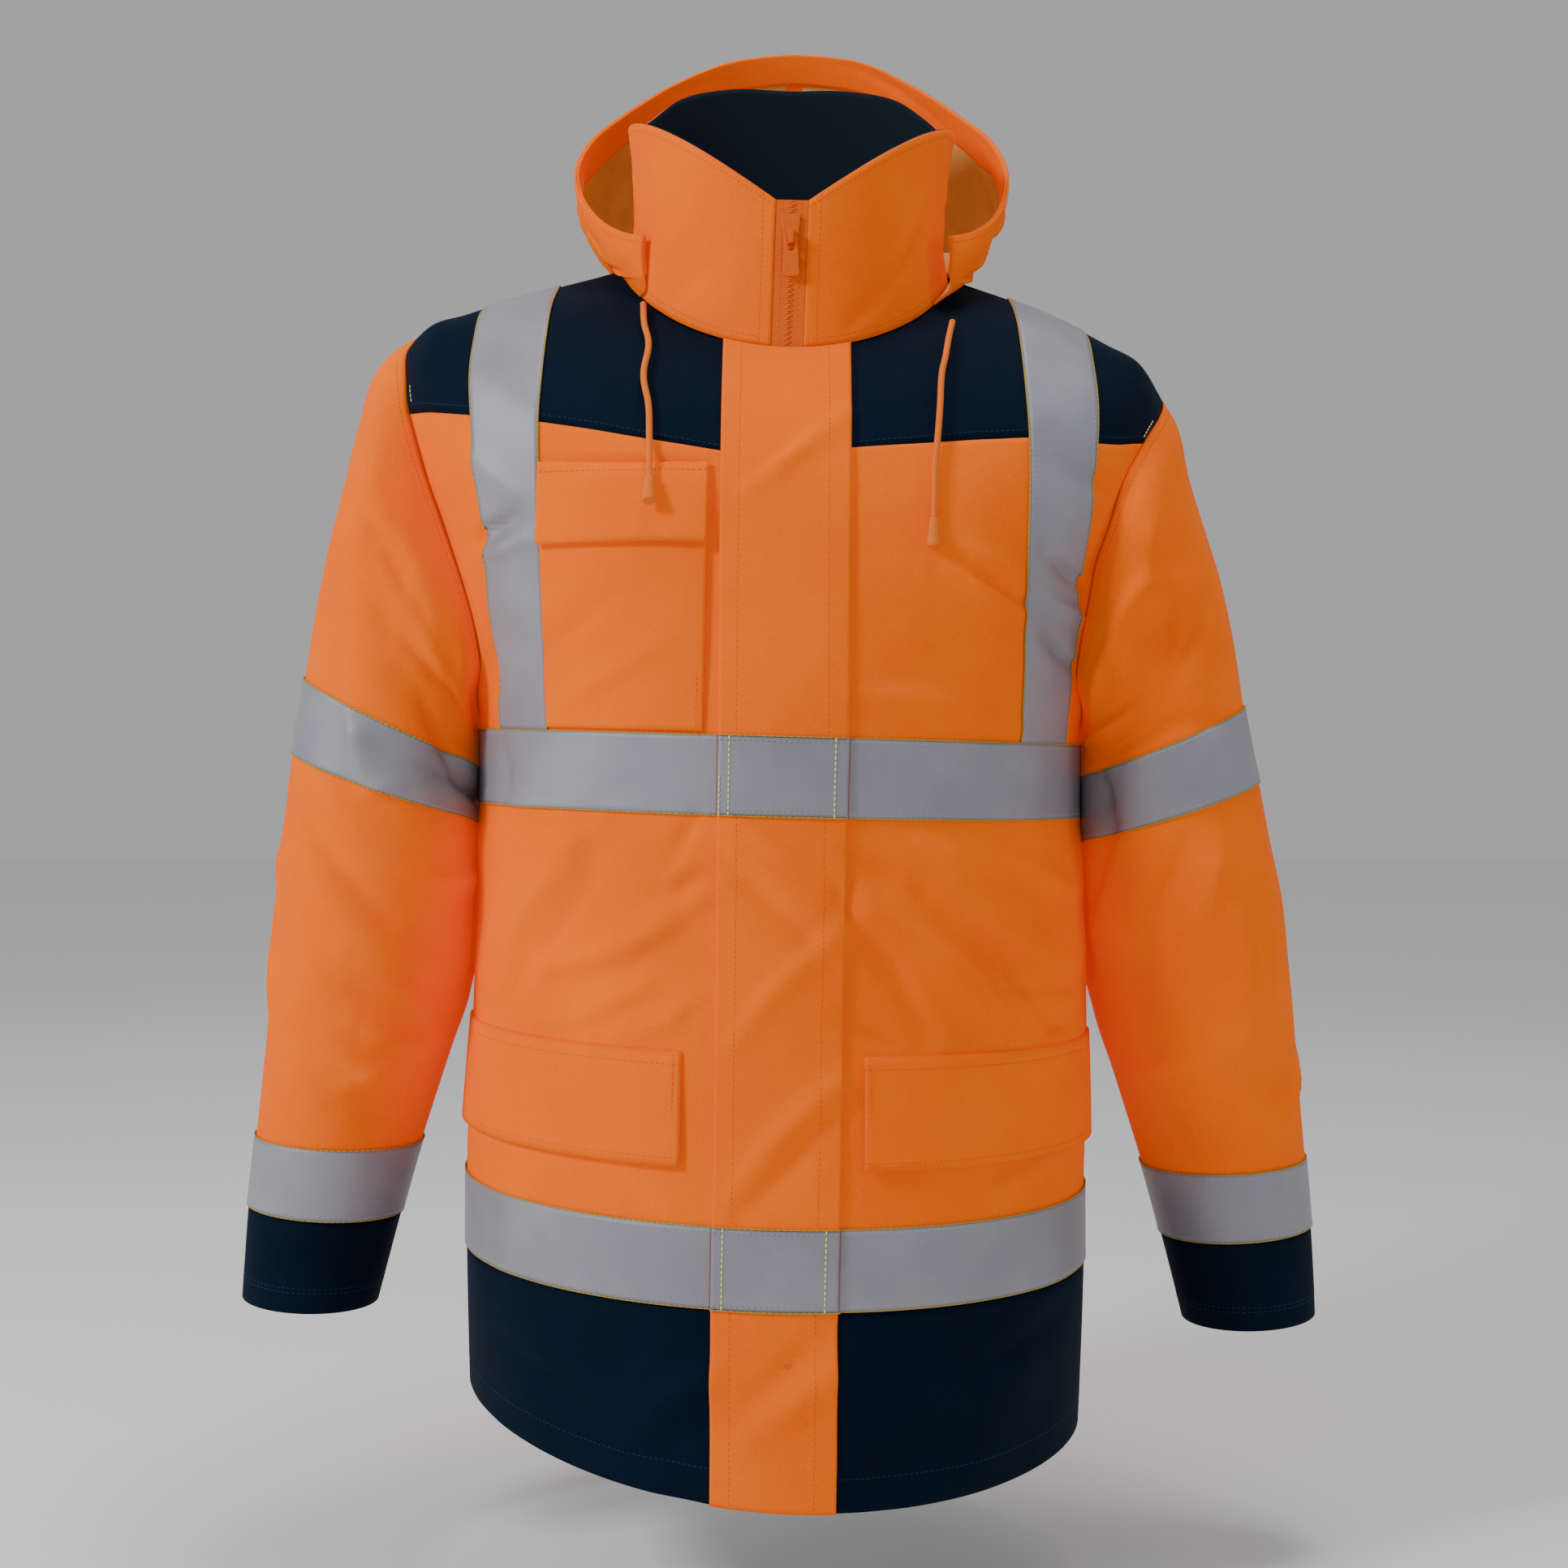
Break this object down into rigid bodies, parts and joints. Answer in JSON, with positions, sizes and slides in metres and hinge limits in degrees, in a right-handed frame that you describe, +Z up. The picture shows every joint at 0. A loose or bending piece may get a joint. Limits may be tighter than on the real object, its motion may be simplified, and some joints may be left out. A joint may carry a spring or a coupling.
{
  "type": "work jacket",
  "caption": "Orange high-visibility hooded work jacket with navy yokes, hem and cuffs and reflective tape, filled out as when worn",
  "frame": {"origin": "on the centre line of the neck, level with the sides of the neck seam", "axes": "+Z up the body, -Y out of the front, +X towards the wearer's left"},
  "size_m": [0.754, 0.4242, 1.0024],
  "materials": {
    "orange_shell": "coated weave, semi-matt",
    "navy_shell": "coated weave, semi-matt",
    "navy_lining": "brushed, matt",
    "reflective_tape": "glass-bead reflective, soft sheen",
    "zip_orange": "moulded",
    "cord_orange": "braided"
  },
  "bodies": {
    "jacket": {"front_right": "orange_shell", "front_yoke_right": "navy_shell", "front_hem_right": "navy_shell", "front_left": "orange_shell", "front_yoke_left": "navy_shell", "front_hem_left": "navy_shell", "back_yoke": "navy_shell", "back": "orange_shell", "back_hem": "navy_shell", "chest_tape_right": "reflective_tape", "chest_tape_left": "reflective_tape", "chest_tape_back": "reflective_tape", "hem_tape_right": "reflective_tape", "hem_tape_left": "reflective_tape", "hem_tape_back": "reflective_tape", "brace_tape_right": "reflective_tape", "brace_tape_left": "reflective_tape", "placket": "orange_shell", "placket_chest_tape": "reflective_tape", "placket_hem_tape": "reflective_tape", "chest_pocket": "orange_shell", "chest_pocket_flap": "orange_shell", "lower_flap_right": "orange_shell", "lower_flap_left": "orange_shell", "sleeve_right": "orange_shell", "cuff_right": "navy_shell", "sleeve_tape_upper_right": "reflective_tape", "sleeve_tape_lower_right": "reflective_tape", "sleeve_left": "orange_shell", "cuff_left": "navy_shell", "sleeve_tape_upper_left": "reflective_tape", "sleeve_tape_lower_left": "reflective_tape", "collar": "orange_shell", "collar_lining": "navy_lining", "zip": "zip_orange", "slider": "zip_orange", "hood_right": "orange_shell", "hood_centre": "orange_shell", "hood_left": "orange_shell", "hood_facing": "orange_shell", "cord_right": "cord_orange", "cord_end_right": "cord_orange", "cord_left": "cord_orange", "cord_end_left": "cord_orange"},
    "pull_tab": {"pull_tab": "zip_orange"}
  },
  "joints": [
    {"name": "pull_tab_hinge", "type": "hinge", "parent": "jacket", "child": "pull_tab", "pos_m": [0.0045, -0.12935, 0.00231], "axis": [-1, 0, 0], "range_deg": [0, 170]}
  ]
}
